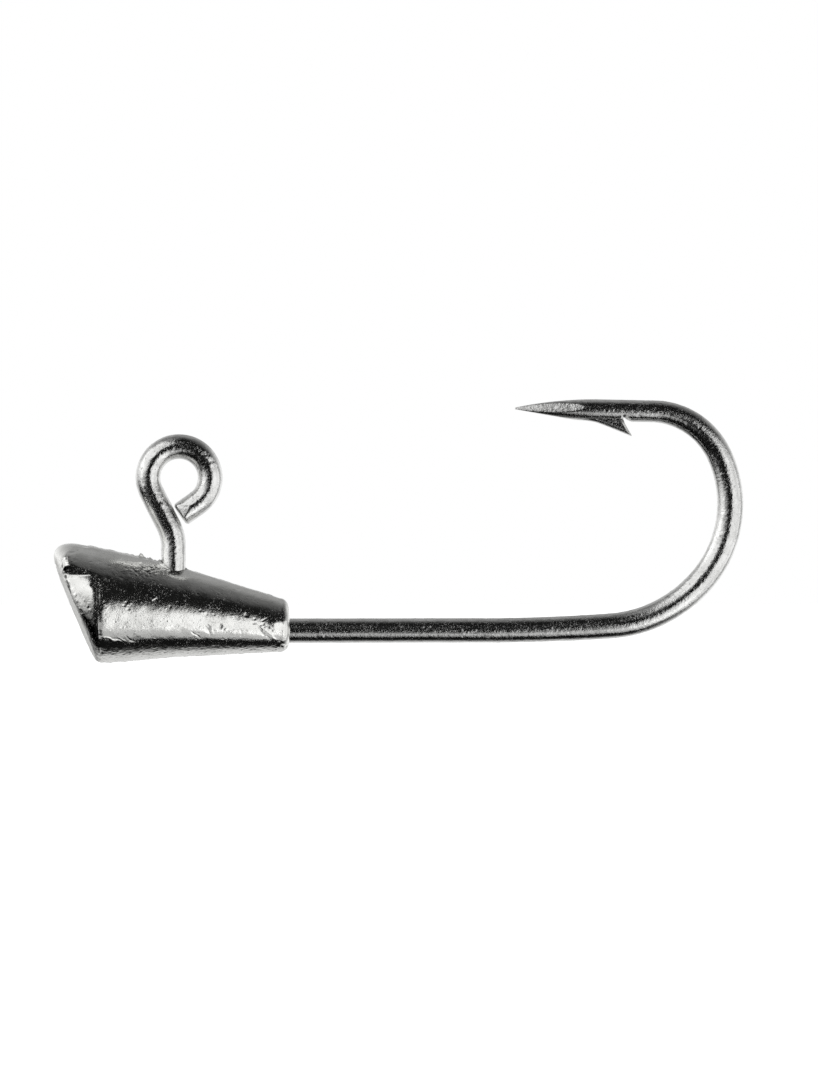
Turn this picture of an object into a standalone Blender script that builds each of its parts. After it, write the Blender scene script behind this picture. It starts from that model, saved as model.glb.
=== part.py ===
"""Jig head: a one-piece wire hook with a lead head cast round the bend below its eye.

Metres. +X runs along the shank towards the hook's bend, +Z is up, on the side of the eye
and the point, and Y is across. The hook lies in the plane Y = 0. The origin is the centre
of the eye, where the line is tied.
"""
import math

import bmesh
import bpy
from mathutils import Vector

MM = 0.001

# Wire
WIRE_R = 0.60 * MM          # the shank, leg and eye
BEND_R = 0.625 * MM         # the forged bend, seen from the side
POINT_R = 0.535 * MM        # the stretch behind the needle point
TIP_R = 0.045 * MM
WIRE_BEVEL = 4              # 12 sides round the wire
POINT_STEP = 0.35 * MM      # spacing of the sections along the tapered point
POINT_STEPS = 3             # sections of the untapered stretch before it
ARC_STEP = 8.0              # degrees between the sections of an arc
EYE_STEP = 12.0
BEND_STEP = 6.0
LEG_BEND_STEP = 11.25
WIRE_SHARP = 40.0           # degrees, steeper edges stay sharp

# Eye and neck
EYE_R = 1.52 * MM           # to the middle of the wire
EYE_END = 1.00 * MM         # straight end of the wire that closes the eye
EYE_START = -55.0           # degrees, where that end meets the eye's circle
NECK_LEAN = 27.0            # degrees off vertical, from the eye down to the leg
NECK_R = 2.20 * MM          # bend from the neck to the upright leg
LEG_X = -0.28 * MM

# Shank and bend
SHANK_Z = -7.47 * MM
LEG_BEND_R = 1.80 * MM      # the right angle inside the casting
SHANK_END_X = 15.08 * MM    # where the bend begins
BEND_ARCS = (               # radius, turn in degrees, from the shank to the point
    (91.0 * MM, 3.9),
    (6.55 * MM, 48.2),
    (5.66 * MM, 64.0),
    (3.70 * MM, 62.9),
)
POINT_LENGTH = 6.84 * MM    # straight stretch from the bend to the tip
TAPER_LENGTH = 4.20 * MM    # the part of it that is ground to a needle

# Barb, in the point's own frame: distance behind the tip, and depth below the wire's middle
BARB_HALF_WIDTH = 0.30 * MM
BARB_START = (3.40 * MM, 0.45 * MM)
BARB_TIP = (5.71 * MM, 1.31 * MM)
NOTCH_ROOT = (5.27 * MM, 0.36 * MM)
NOTCH_BACK = (5.52 * MM, 0.56 * MM)     # where the wire's underside starts again
BLADE_OVERSHOOT = 1.06      # the blade runs past the barb's tip, the notch trims it
BLADE_TOP = 0.20 * MM       # depth of its upper edge, inside the wire
BLADE_SETBACK = 0.5 * MM
NOTCH_REACH_DOWN = 1.5      # how far the notch's cutter runs on past the barb's tip
NOTCH_REACH_BACK = 6.0      # and past the wire's underside

# Lead head: a turned body on an axis that bends at the waist, cut off at a slant in front
HEAD_FRONT_X = -8.00 * MM       # of the blank, ahead of the nose
HEAD_WAIST_X = -0.50 * MM       # where the taper and the axis change slope, by the leg
HEAD_REAR_X = 5.36 * MM
HEAD_FRONT_R = 3.475 * MM
HEAD_WAIST_R = 2.29 * MM
HEAD_REAR_R = 1.235 * MM
HEAD_WAIST_Z = -6.460 * MM      # of the axis
AXIS_FALL_FRONT = 0.066         # slope of the axis, downwards to the rear
AXIS_FALL_REAR = 0.134
SECTION_SAG = 0.085             # the section is widest a little below its middle
HEAD_REAR_ROUND = 0.40 * MM
REAR_ROUND_STEPS = 4
HEAD_SIDES = 48
NOSE_POINT = Vector((-5.05 * MM, 0.0, -6.57 * MM))  # the middle of the nose face
NOSE_LEAN = 22.5            # degrees off upright, the top is further forward
NOSE_ROUND = 1.50 * MM      # width of the rounded edge of the nose face at its top
NOSE_ROUND_LOW = 0.17       # share of that width left at the bottom edge
NOSE_ROUND_STEPS = 3
NOSE_CUTTER_SIZE = 16.0 * MM
HEAD_SHARP = 35.0           # degrees, steeper edges stay sharp
CHANNEL_GAP = 0.05 * MM     # between the wire and the casting
FACE_TOLERANCE = 0.001 * MM

COLLECTION = "jig_head"
CUTTERS = "cutters"


def clear_scene():
    for obj in list(bpy.data.objects):
        bpy.data.objects.remove(obj, do_unlink=True)


def collection(name):
    group = bpy.data.collections.new(name)
    bpy.context.scene.collection.children.link(group)
    return group


def material(name, colour, metallic, roughness):
    mat = bpy.data.materials.new(name)
    mat.use_nodes = True
    shader = mat.node_tree.nodes["Principled BSDF"]
    shader.inputs["Base Color"].default_value = (*colour, 1.0)
    shader.inputs["Metallic"].default_value = metallic
    shader.inputs["Roughness"].default_value = roughness
    return mat


class Pen:
    """Draws a route in the XZ plane out of straight stretches and arcs."""

    def __init__(self, x, z, heading):
        self.x = x
        self.z = z
        self.heading = math.radians(heading)
        self.points = [(x, z)]
        self.length = 0.0

    def straight(self, length, steps=1):
        for _ in range(steps):
            self.move(length / steps, 0.0)

    def arc(self, radius, degrees, step=ARC_STEP):
        """Turn left for positive degrees, right for negative."""
        steps = max(2, math.ceil(abs(degrees) / step))
        turn = math.radians(degrees) / steps
        for _ in range(steps):
            self.move(2.0 * radius * math.sin(abs(turn) / 2.0), turn)

    def move(self, chord, turn):
        direction = self.heading + turn / 2.0
        self.x += chord * math.cos(direction)
        self.z += chord * math.sin(direction)
        self.heading += turn
        self.length += chord
        self.points.append((self.x, self.z))


def hook_route():
    """The wire's middle line from the cut end at the eye to the tip, and where the bend lies."""
    lean = math.radians(NECK_LEAN)
    start = math.radians(EYE_START)
    end_x = EYE_R * math.cos(start) - EYE_END * math.cos(start + math.pi / 2)
    end_z = EYE_R * math.sin(start) - EYE_END * math.sin(start + math.pi / 2)
    pen = Pen(end_x, end_z, EYE_START + 90.0)
    pen.straight(EYE_END)
    pen.arc(EYE_R, 180.0 + NECK_LEAN - EYE_START, step=EYE_STEP)
    pen.straight((LEG_X - pen.x - NECK_R * (1.0 - math.cos(lean))) / math.sin(lean))
    pen.arc(NECK_R, -NECK_LEAN)
    pen.straight(pen.z - SHANK_Z - LEG_BEND_R)
    pen.arc(LEG_BEND_R, 90.0, step=LEG_BEND_STEP)
    pen.straight(SHANK_END_X - pen.x)
    bend_start = pen.length
    for radius, degrees in BEND_ARCS:
        pen.arc(radius, degrees, step=BEND_STEP)
    bend_end = pen.length
    pen.straight(POINT_LENGTH - TAPER_LENGTH, steps=POINT_STEPS)
    pen.straight(TAPER_LENGTH, steps=round(TAPER_LENGTH / POINT_STEP))
    return pen, bend_start, bend_end


def wire_radius(along, total, bend_start, bend_end):
    """The wire's radius at a distance along it: thicker in the bend, a needle at the tip."""
    left = total - along
    if left < TAPER_LENGTH:
        full = 1.0 - (1.0 - left / TAPER_LENGTH) ** 2
        return TIP_R + (POINT_R - TIP_R) * full
    if along > bend_end:
        return POINT_R
    if along > bend_start:
        share = (along - bend_start) / (bend_end - bend_start)
        swell = (BEND_R - WIRE_R) * math.sin(math.pi * share)
        return WIRE_R + (POINT_R - WIRE_R) * share ** 3 + swell
    return WIRE_R


def wire_tube(name, extra, group):
    """A mesh tube along the hook's route, its radius larger by extra."""
    pen, bend_start, bend_end = hook_route()
    curve = bpy.data.curves.new(name, "CURVE")
    curve.dimensions = "3D"
    curve.bevel_depth = 1.0
    curve.bevel_resolution = WIRE_BEVEL
    curve.use_fill_caps = True
    spline = curve.splines.new("POLY")
    spline.points.add(len(pen.points) - 1)
    along = 0.0
    before = pen.points[0]
    for point, place in zip(spline.points, pen.points):
        along += math.dist(before, place)
        before = place
        point.co = (place[0], 0.0, place[1], 1.0)
        point.radius = extra + wire_radius(along, pen.length, bend_start, bend_end)
    return mesh_from_curve(name, curve, group)


def flat_plate(name, outline, half_width, group):
    """A plate standing in the XZ plane with the given outline of (x, z) points."""
    curve = bpy.data.curves.new(name, "CURVE")
    curve.dimensions = "2D"
    curve.fill_mode = "BOTH"
    curve.extrude = half_width
    spline = curve.splines.new("POLY")
    spline.points.add(len(outline) - 1)
    for point, (x, z) in zip(spline.points, outline):
        point.co = (x, z, 0.0, 1.0)
    spline.use_cyclic_u = True
    return mesh_from_curve(name, curve, group, upright=True)


def mesh_from_curve(name, curve, group, upright=False):
    """Turn a curve into a closed mesh object of the same name."""
    guide = bpy.data.objects.new(name + "_curve", curve)
    bpy.context.scene.collection.objects.link(guide)
    if upright:
        guide.rotation_euler.x = math.pi / 2
    bpy.context.view_layer.update()
    evaluated = guide.evaluated_get(bpy.context.evaluated_depsgraph_get())
    mesh = bpy.data.meshes.new_from_object(evaluated)
    mesh.name = name
    bm = bmesh.new()
    bm.from_mesh(mesh)
    bmesh.ops.remove_doubles(bm, verts=bm.verts, dist=1e-7)
    bmesh.ops.recalc_face_normals(bm, faces=bm.faces)
    bm.to_mesh(mesh)
    bm.free()
    obj = bpy.data.objects.new(name, mesh)
    obj.matrix_world = guide.matrix_world
    group.objects.link(obj)
    bpy.data.objects.remove(guide, do_unlink=True)
    return obj


def boolean(obj, other, operation):
    modifier = obj.modifiers.new(operation.lower() + "_" + other.name, "BOOLEAN")
    modifier.operation = operation
    modifier.solver = "EXACT"
    modifier.object = other


def as_cutter(obj):
    obj.hide_render = True
    obj.display_type = "WIRE"
    return obj


def smooth(obj, degrees):
    obj.data.shade_smooth()
    obj.data.set_sharp_from_angle(angle=math.radians(degrees))


def point_places(tip, pairs):
    """Places in the point's own frame, distance behind the tip and depth, as (x, z) points."""
    level = tip[1]
    return [(tip[0] + back, level - depth) for back, depth in pairs]


def beyond(start, through, reach):
    """The point that lies reach times as far from start as through does."""
    return tuple(a + reach * (b - a) for a, b in zip(start, through))


def add_barb(hook, tip, cutters):
    """A blade raised under the point, and the notch that was cut behind it."""
    end = beyond(BARB_START, BARB_TIP, BLADE_OVERSHOOT)
    blade = [BARB_START, end, (end[0] - BLADE_SETBACK, BLADE_TOP), (BARB_START[0], BLADE_TOP)]
    raised = flat_plate("barb_blade", point_places(tip, blade), BARB_HALF_WIDTH, cutters)
    boolean(hook, as_cutter(raised), "UNION")
    down = beyond(NOTCH_ROOT, BARB_TIP, NOTCH_REACH_DOWN)
    back = beyond(NOTCH_ROOT, NOTCH_BACK, NOTCH_REACH_BACK)
    notch = [NOTCH_ROOT, down, back]
    cut = flat_plate("barb_notch", point_places(tip, notch), 2.0 * WIRE_R, cutters)
    boolean(hook, as_cutter(cut), "DIFFERENCE")


def build_hook(group, cutters):
    hook = wire_tube("jig_hook", 0.0, group)
    pen, _, _ = hook_route()
    add_barb(hook, pen.points[-1], cutters)
    hook.data.materials.clear()
    hook.data.materials.append(material("tinned_wire", (0.42, 0.42, 0.41), 1.0, 0.30))
    smooth(hook, WIRE_SHARP)
    return hook


def head_profile():
    """Radius and height down the blank's outside, from its rear face to its front."""
    length = HEAD_REAR_X - HEAD_FRONT_X
    points = [(0.0, length)]
    for step in range(REAR_ROUND_STEPS + 1):
        turn = math.radians(90.0 * step / REAR_ROUND_STEPS)
        out = HEAD_REAR_R - HEAD_REAR_ROUND * (1.0 - math.sin(turn))
        points.append((out, length - HEAD_REAR_ROUND * (1.0 - math.cos(turn))))
    points.append((HEAD_WAIST_R, HEAD_WAIST_X - HEAD_FRONT_X))
    points.append((HEAD_FRONT_R, 0.0))
    points.append((0.0, 0.0))
    return points


def turned_blank(group):
    """The turned blank of the head, lying along X."""
    mesh = bpy.data.meshes.new("lead_head")
    bm = bmesh.new()
    verts = [bm.verts.new((radius, 0.0, height)) for radius, height in head_profile()]
    for first, second in zip(verts, verts[1:]):
        bm.edges.new((first, second))
    bm.to_mesh(mesh)
    bm.free()
    blank = bpy.data.objects.new("lead_head", mesh)
    group.objects.link(blank)
    blank.location.x = HEAD_FRONT_X
    blank.rotation_euler.y = math.pi / 2
    screw = blank.modifiers.new("turned", "SCREW")
    screw.axis = "Z"
    screw.steps = HEAD_SIDES
    screw.render_steps = HEAD_SIDES
    screw.use_merge_vertices = True
    screw.merge_threshold = 1e-6
    return blank


def axis_height(x):
    """Height of the head's axis, which falls gently to the waist and faster behind it."""
    fall = AXIS_FALL_FRONT if x < HEAD_WAIST_X else AXIS_FALL_REAR
    return HEAD_WAIST_Z - fall * (x - HEAD_WAIST_X)


def settle_on_axis(blank):
    """Slide each upright section onto the head's bent axis, its flanks a little lower."""
    for vertex in blank.data.vertices:
        place = vertex.co
        out = math.hypot(place.y, place.z)
        if out > 0.0:
            place.z -= SECTION_SAG * place.y ** 2 / out
        place.z += axis_height(place.x)


def nose_normal():
    lean = math.radians(NOSE_LEAN)
    return Vector((-math.cos(lean), 0.0, -math.sin(lean)))


def nose_cutter(cutters):
    """A block whose back face is the nose face."""
    mesh = bpy.data.meshes.new("nose_cutter")
    bm = bmesh.new()
    bmesh.ops.create_cube(bm, size=NOSE_CUTTER_SIZE)
    bm.to_mesh(mesh)
    bm.free()
    block = bpy.data.objects.new("nose_cutter", mesh)
    cutters.objects.link(block)
    block.rotation_euler.y = math.radians(-NOSE_LEAN)
    block.location = NOSE_POINT + nose_normal() * (NOSE_CUTTER_SIZE / 2.0)
    return as_cutter(block)


def freeze(obj):
    """Make the object's evaluated shape its own mesh, in world coordinates."""
    bpy.context.view_layer.update()
    evaluated = obj.evaluated_get(bpy.context.evaluated_depsgraph_get())
    mesh = bpy.data.meshes.new_from_object(evaluated)
    mesh.transform(obj.matrix_world)
    mesh.name = obj.name
    obj.modifiers.clear()
    obj.data = mesh
    obj.location = (0.0, 0.0, 0.0)
    obj.rotation_euler = (0.0, 0.0, 0.0)


def round_nose_edge(head):
    """Round the rim of the nose face, widely at the top and less and less towards the bottom."""
    mesh = head.data
    normal = nose_normal()
    on_face = [abs((v.co - NOSE_POINT).dot(normal)) < FACE_TOLERANCE for v in mesh.vertices]
    rim = [edge for edge in mesh.edges if all(on_face[i] for i in edge.vertices)]
    heights = {e.index: sum(mesh.vertices[i].co.z for i in e.vertices) / 2.0 for e in rim}
    low = min(heights.values())
    high = max(heights.values())
    weight = mesh.attributes.new("bevel_weight_edge", "FLOAT", "EDGE")
    for index, z in heights.items():
        share = (z - low) / (high - low)
        weight.data[index].value = NOSE_ROUND_LOW + (1.0 - NOSE_ROUND_LOW) * share
    bevel = head.modifiers.new("nose_rim", "BEVEL")
    bevel.limit_method = "WEIGHT"
    bevel.width = NOSE_ROUND
    bevel.segments = NOSE_ROUND_STEPS
    bevel.use_clamp_overlap = False


def build_head(group, cutters):
    head = turned_blank(group)
    freeze(head)
    settle_on_axis(head)
    boolean(head, nose_cutter(cutters), "DIFFERENCE")
    freeze(head)
    round_nose_edge(head)
    channel = wire_tube("wire_channel", CHANNEL_GAP, cutters)
    boolean(head, as_cutter(channel), "DIFFERENCE")
    head.data.materials.clear()
    head.data.materials.append(material("cast_lead", (0.50, 0.50, 0.49), 1.0, 0.38))
    smooth(head, HEAD_SHARP)
    return head


def main():
    clear_scene()
    group = collection(COLLECTION)
    cutters = collection(CUTTERS)
    build_hook(group, cutters)
    build_head(group, cutters)


main()
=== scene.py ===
"""The looks of the jig head: a tinned wire hook and the lead head cast on it.

Metres, in the frame of the CAD model: +X along the shank to the bend, +Z up, Y across, and
the origin in the middle of the eye. Lengths below are named in millimetres times MM.
"""
import itertools
import math

import bmesh
import bpy
import numpy as np
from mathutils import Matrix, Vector


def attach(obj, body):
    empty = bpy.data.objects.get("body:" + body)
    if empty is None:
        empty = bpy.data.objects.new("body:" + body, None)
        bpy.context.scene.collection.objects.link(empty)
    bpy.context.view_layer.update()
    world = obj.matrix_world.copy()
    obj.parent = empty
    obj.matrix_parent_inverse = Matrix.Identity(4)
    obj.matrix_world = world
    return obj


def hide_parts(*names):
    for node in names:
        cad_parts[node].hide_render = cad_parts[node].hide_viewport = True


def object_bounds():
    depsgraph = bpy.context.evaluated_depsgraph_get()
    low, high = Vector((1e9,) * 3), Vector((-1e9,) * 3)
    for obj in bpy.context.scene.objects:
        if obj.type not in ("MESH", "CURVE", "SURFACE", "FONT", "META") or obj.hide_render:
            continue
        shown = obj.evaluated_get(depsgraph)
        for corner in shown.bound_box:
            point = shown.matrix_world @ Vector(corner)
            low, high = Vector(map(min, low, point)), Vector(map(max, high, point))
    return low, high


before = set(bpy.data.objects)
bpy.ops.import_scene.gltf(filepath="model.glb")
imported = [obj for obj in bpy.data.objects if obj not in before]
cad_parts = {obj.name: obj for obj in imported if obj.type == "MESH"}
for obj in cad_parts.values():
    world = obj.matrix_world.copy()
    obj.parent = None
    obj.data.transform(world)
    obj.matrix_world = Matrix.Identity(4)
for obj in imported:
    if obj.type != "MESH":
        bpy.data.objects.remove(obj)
cad_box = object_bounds()

MM = 0.001
MICRON = 0.001 * MM

# ---------------------------------------------------------------- the wire's route
WIRE_R = 0.60 * MM
EYE_R = 1.52 * MM
EYE_END = 1.00 * MM
EYE_START = -55.0
NECK_LEAN = 27.0
NECK_R = 2.20 * MM
LEG_X = -0.28 * MM
SHANK_Z = -7.47 * MM
LEG_BEND_R = 1.80 * MM
SHANK_END_X = 15.08 * MM
BEND_ARCS = ((91.0 * MM, 3.9), (6.55 * MM, 48.2), (5.66 * MM, 64.0), (3.70 * MM, 62.9))
POINT_LENGTH = 6.84 * MM
TAPER_LENGTH = 4.20 * MM
POINT_R = 0.535 * MM
TIP_R = 0.050 * MM
BEND_SWELL = 0.065 * MM         # the forged bend is wider in the hook's plane ...
BEND_FLATTEN = 0.050 * MM       # ... and thinner across it
BEND_SWELL_SKEW = 1.8           # more so towards the point
NEEDLE_FLATS = ((-0.138, -0.955, 0.25), (-0.138, 0.955, 0.25), (-0.17, 0.0, -0.98))
NEEDLE_FLAT_DEPTH = 0.030 * MM  # from the middle of the tip
TAIL_FLAT = (-0.33, -0.925, 0.075)
TAIL_FLAT_DEPTH = 0.455 * MM    # from the middle of the cut end
TAIL_FLAT_REACH = 0.5 * EYE_R   # along the wire
FLAT_PRESS = 0.88               # the share of what stands past a flat that is ground off
WORN_LENGTH = 0.12 * MM         # of the cut end at the eye, drawn in to a worn edge
WORN_SHRINK = 0.17
SHARP_ANGLE = 38.0              # degrees; a sharper fold than this shows as an edge
RING_STEP = 0.045 * MM
RING_SIDES = 88

# ---------------------------------------------------------------- the plating's relief
PLATING_PATCH = 1.1 * MM        # size of its rougher and smoother patches
PLATING_ROUGH = (-0.5, 0.3)     # the noise at which roughness starts and is full
LINE_STRETCH = 12.0             # the drawn lines are this many times longer than wide
LINE_SIZE = 0.09 * MM
LINE_HEIGHT = 1.5 * MICRON
WAVE_SIZE = 0.9 * MM
WAVE_HEIGHT = 2.5 * MICRON
# grains: size, height on smooth patches, what rough patches add to it, seed
WIRE_GRAINS = (
    (0.10 * MM, 1.2 * MICRON, 2.4 * MICRON, 11),
    (0.20 * MM, 1.0 * MICRON, 2.2 * MICRON, 13),
)
# nodules and dents in the same way, each in this share of its cells
WIRE_SPOT_SHARE = 0.14
WIRE_SPOTS = (
    (0.12 * MM, 3.0 * MICRON, 8.0 * MICRON, 23),
    (0.15 * MM, -3.0 * MICRON, -6.0 * MICRON, 31),
)
EYE_GRAIN_Z = -5.5 * MM         # above this, on the head's side, the relief is higher
EYE_GRAIN = 1.4
POLISHED_LENGTH = 1.3 * MM      # of the shank, where it leaves the casting
POLISHED_GRAIN = 0.25
GROUND_GRAIN = 0.15             # what is left of the relief where it is ground off
GROUND_PAST_TIP = 1.5 * MM      # the fade over the taper would end this far past the tip

# ---------------------------------------------------------------- the barb
BARB_START = 2.60 * MM
BARB_END = 5.90 * MM
BARB_HALF = 0.30 * MM
BARB_KNEE = 4.00 * MM           # where the barb's lower edge swings down
BARB_KNEE_DEPTH = 0.630 * MM
BARB_SLOPE = 0.26
BARB_SWING = 0.14
BARB_BLEND = 0.25 * MM
BLADE_SLANT = 0.36              # how far its rear end leans forward, per depth
BLADE_SPREAD = 0.03 * MM        # what each side gains in thickness towards the rear end
BLADE_TOP = 0.12 * MM           # its upper edge, inside the wire, below the tip
BLADE_BEVEL = 0.10 * MM
BLADE_RINGS = 70
# the worn lower edge: in from the side and up from the bottom, in bevels
BLADE_EDGE = ((0.0, 1.6), (0.25, 0.9), (1.0, 0.2), (1.8, 0.0))
# places across the wire, and how much wider the notch is there
NOTCH_FLARE = tuple((y * MM, grow * MM) for y, grow in (
    (-0.90, 0.14), (-0.32, 0.14), (-0.21, 0.0), (0.21, 0.0), (0.32, 0.14), (0.90, 0.14)))
# the notch's outline in the hook's plane, in millimetres behind the tip and below it
NOTCH_FRONT = ((5.80, 1.40), (5.57, 1.00), (5.40, 0.70))
NOTCH_ROOT = (5.40, 0.49)
NOTCH_ROOT_R = 0.07 * MM
NOTCH_ROOT_ARC = (165.0, 275.0)
NOTCH_ROOT_STEPS = 9
# from the root to the rear, and how much of the widening moves each corner up
NOTCH_REAR = (
    (5.50, 0.50, 1.0), (5.60, 0.55, 0.5), (5.80, 0.64, 0.0),
    (6.60, 0.69, 0.0), (7.00, 2.20, 0.0), (6.10, 2.10, 0.0),
)

# ---------------------------------------------------------------- the lead head
HEAD_WAIST_X = -0.50 * MM
HEAD_REAR_X = 5.36 * MM
HEAD_WAIST_R = 2.29 * MM
HEAD_WAIST_Z = -6.460 * MM
TAPER_FRONT = 0.158             # radius gained per length, ahead of the waist
TAPER_REAR = 0.180              # and lost behind it
FALL_FRONT = 0.066
FALL_REAR = 0.134
WAIST_BLEND = 0.9 * MM
SECTION_SAG = 0.085             # the section is widest a little below its middle
HEAD_REAR_ROUND = 0.42 * MM
NOSE_POINT = Vector((-5.05 * MM, 0.0, -6.57 * MM))
NOSE_LEAN = 22.5
NOSE_COS = math.cos(math.radians(NOSE_LEAN))
NOSE_SIN = math.sin(math.radians(NOSE_LEAN))
NOSE_ROUND_LOW = 0.24 * MM      # how far the rounding reaches over the nose at the bottom,
NOSE_ROUND_SIDE = 0.46 * MM     # what it gains on the flanks
NOSE_ROUND_TOP = 0.80 * MM      # and again at the top
CREASE_X = -4.16 * MM           # where it ends on the side, a nearly upright line
CREASE_TOP_X = -5.60 * MM       # that swings forward above the flank
CREASE_RETURN = 0.70            # and falls back by this share at the very top
CREASE_BLEND = 0.30 * MM
CREASE_SOFTNESS = 0.28          # 0 is a flat chamfer round the nose, 1 a full round
CREASE_SOFTNESS_TOP = 0.82
# heights on the nose's rim, from 0 at its foot to 1 at its top, between which ...
SIDE_LEVELS = (0.04, 0.30)      # the rounding widens to that of the flanks
TOP_LEVELS = (0.70, 0.98)       # and on to that of the top
SWING_LEVELS = (0.725, 0.80)    # the crease swings forward
RETURN_LEVELS = (0.86, 1.0)     # and falls back
SOFT_LEVELS = (0.76, 0.98)      # the chamfer turns into a round
NOSE_X_ROUNDS = 40              # of the search for the nose plane along the side
HEAD_SIDES = 640
NOSE_RINGS = 52                 # over the nose face
ROUND_RINGS = 44                # over its rounded edge
SIDE_RINGS = 239
REAR_ROUND_RINGS = 15
REAR_FACE_RINGS = 18
NOSE_POLE_SHARE = 0.02          # size of the smallest ring on the nose face
REAR_POLE_SHARE = 0.03          # and on the rear face

# ---------------------------------------------------------------- the casting's relief
# waves and dimples: size, scale of x (below 1 draws them out along the head), height, seed
HEAD_GRAINS = (
    (1.50 * MM, 1.0, 7.0 * MICRON, 47),
    (0.42 * MM, 1.0, 4.2 * MICRON, 41),
    (0.19 * MM, 0.7, 2.5 * MICRON, 43),
    (0.09 * MM, 1.0, 0.7 * MICRON, 45),
)
# pits and grains: size, scale of x, share of the cells, height, seed
HEAD_SPOTS = (
    (0.15 * MM, 0.7, 0.12, -8.0 * MICRON, 53),
    (0.34 * MM, 1.0, 0.05, -16.0 * MICRON, 57),
    (0.15 * MM, 1.0, 0.10, 6.0 * MICRON, 59),
)
# coarser sand marks on the underside, the nose face and in two patches
SAND_GRAIN_SIZE = 0.13 * MM
SAND_GRAIN_HEIGHT = 8.4 * MICRON
SAND_SPOT_SIZE = 0.16 * MM
SAND_SPOT_SHARE = 0.30
SAND_SPOT_HEIGHT = 12.6 * MICRON
SAND_DROP = (0.62, 0.88)        # below the axis, in radii: where they start and are full
SAND_ON_FACE = 0.8
SAND_FACE_DEPTH = (0.45 * MM, 0.05 * MM)
SAND_PATCHES = (                # middle and half size in millimetres, strength
    ((4.95, -8.15), (0.40, 0.28), 1.0),
    ((-5.75, -4.30), (0.50, 0.55), 1.2),
)
# the seam where the mould's halves met
SEAM_HEIGHT = 22.0 * MICRON
SEAM_HALF = 0.05 * MM
SEAM_RAG = dict(size=0.30 * MM, octaves=3, mean=0.45, swing=0.75, most=1.4, seed=61)
SEAM_REAR = (5.3 * MM, 4.7 * MM)
SEAM_FRONT = (0.30 * MM, 0.60 * MM)     # behind the nose face
# the flash that stands on it ahead of the leg
FLASH_HEIGHT = 0.19 * MM
FLASH_HALF = 0.20 * MM
FLASH_PATCH = ((-1.45, -4.10), (0.80, 2.00))
FLASH_DRAWN_OUT = (1.0, 0.5, 0.5)
FLASH_FLAKES = dict(size=0.24 * MM, octaves=3, mean=0.32, swing=0.9, most=math.inf, seed=113)
# crumbs of lead on the camera's side of the flash
CRUMB_SIZE = 0.13 * MM
CRUMB_SHARE = 0.35
CRUMB_HEIGHT = 36.0 * MICRON
CRUMB_GRAIN_SIZE = 0.11 * MM
CRUMB_GRAIN_HEIGHT = 28.8 * MICRON
CRUMB_PATCH = ((-1.45, -4.46), (1.20, 0.30))
# the lead climbs the leg on the far side and stands lower in front of it
MENISCUS_HEIGHT = 0.06 * MM
MENISCUS_REACH = 0.09 * MM
LEG_DENT = 0.15 * MM
LEG_DENT_Y = -0.75 * MM
LEG_DENT_HALF = (0.48 * MM, 0.50 * MM)
# the edges of the nose's chamfer are worn down: ring, and width in rings
WORN_EDGES = ((NOSE_RINGS, 2.6), (NOSE_RINGS + ROUND_RINGS, 4.2))
EDGE_WEAR = 0.034 * MM
EDGE_RAG = 0.7
EDGE_RAG_SIZE = 0.3 * MM
FACE_MARGIN = 0.03 * MM         # marks on the side end this far behind the nose face
SCAR_WAVER = 0.07 * MM
SCAR_WAVER_SIZE = 0.28 * MM
SCAR_BREAKS = dict(size=0.22 * MM, octaves=1, mean=0.7, swing=0.8, most=1.3, seed=97)
# on the camera's side: start and end (x, z), width and height of each mark, in millimetres
SCARS = (
    ((1.16, -7.20), (1.42, -7.70), 0.038, -0.015),
    ((1.26, -7.06), (1.56, -7.64), 0.034, 0.016),
    ((1.90, -7.62), (2.14, -7.22), 0.038, -0.015),
    ((2.02, -7.68), (2.28, -7.26), 0.034, 0.014),
    ((0.50, -7.42), (0.92, -7.76), 0.034, -0.014),
    ((2.76, -7.26), (3.02, -7.70), 0.034, -0.012),
    ((-1.50, -5.92), (-0.92, -5.58), 0.040, 0.026),
    ((-4.05, -7.68), (-2.70, -7.98), 0.030, 0.024),
    ((-3.20, -7.72), (-2.10, -8.12), 0.028, 0.018),
    ((-2.75, -7.66), (-2.30, -7.96), 0.026, -0.014),
    ((3.30, -7.04), (4.30, -7.30), 0.045, -0.018),
    ((3.55, -7.22), (4.62, -8.06), 0.050, -0.018),
    ((3.66, -7.08), (4.74, -7.92), 0.045, 0.018),
    ((3.82, -6.96), (4.45, -6.82), 0.040, -0.013),
)
# the furrow along the front of the nose's bright chamfer, along which dark shade is painted into the lead's
# colour
FURROW = (
    ((-5.80, -4.16), (-5.50, -5.30), 0.042, -0.030),
    ((-5.54, -5.00), (-5.37, -6.16), 0.038, -0.030),
    ((-5.41, -5.86), (-5.00, -6.86), 0.038, -0.030),
)
# middle and half size (x, z), and height, in millimetres
LUMPS = (
    ((4.62, -7.10), (0.36, 0.32), 0.045),
    ((4.98, -8.26), (0.20, 0.12), 0.060),
)
# dark shade painted into the lead's colour in the furrow, round the leg's foot and between the crumbs, from
# 0 to 1
PAINTED_SHADE_IN_FURROW = 1.6           # over 1, so that the middle of the furrow is evenly dark
PAINTED_SHADE_WIDEN = 1.4
PAINTED_SHADE_WAVER = 0.05 * MM
PAINTED_SHADE_WAVER_SIZE = 0.16 * MM
PAINTED_SHADE_AT_LEG = 0.8
PAINTED_SHADE_LEG_REACH = 0.08 * MM
PAINTED_SHADE_IN_CRUMBS = 0.9
PAINTED_SHADE_CRUMB_SIZE = 0.13 * MM
PAINTED_SHADE_CRUMB_RANGE = (0.15, 0.45)
PAINTED_SHADE_PATCH = ((-1.35, -4.50), (1.10, 0.26))
PAINTED_SHADE_SPECKLE = dict(size=0.12 * MM, octaves=2, mean=0.75, swing=1.1, most=1.0, seed=109)


# ================================================================ numbers and noise

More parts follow.
